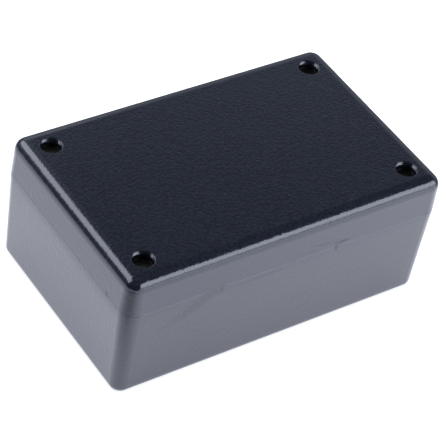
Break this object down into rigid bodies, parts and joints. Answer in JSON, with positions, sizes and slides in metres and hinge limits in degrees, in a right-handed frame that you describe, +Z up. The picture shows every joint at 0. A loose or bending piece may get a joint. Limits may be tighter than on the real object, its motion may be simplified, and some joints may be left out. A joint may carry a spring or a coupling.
{
  "type": "plastic project box",
  "caption": "Rectangular moulded enclosure with a drafted base tray, a deep skirted lid held by recessed corner screws, and board slots inside.",
  "frame": {"origin": "centre of the flat underside", "axes": "+X along the length, +Y across the width to the back, +Z up through the lid"},
  "size_m": [0.1, 0.0628, 0.041],
  "materials": {
    "case_plastic": "black, fine spark-eroded satin grain",
    "screw_steel": "zinc plated",
    "insert_brass": "turned"
  },
  "bodies": {
    "root": {"base": "case_plastic", "lid": "case_plastic", "screw_front_left": "screw_steel", "screw_front_right": "screw_steel", "screw_back_left": "screw_steel", "screw_back_right": "screw_steel", "insert_front_left": "insert_brass", "insert_front_right": "insert_brass", "insert_back_left": "insert_brass", "insert_back_right": "insert_brass"}
  },
  "joints": []
}
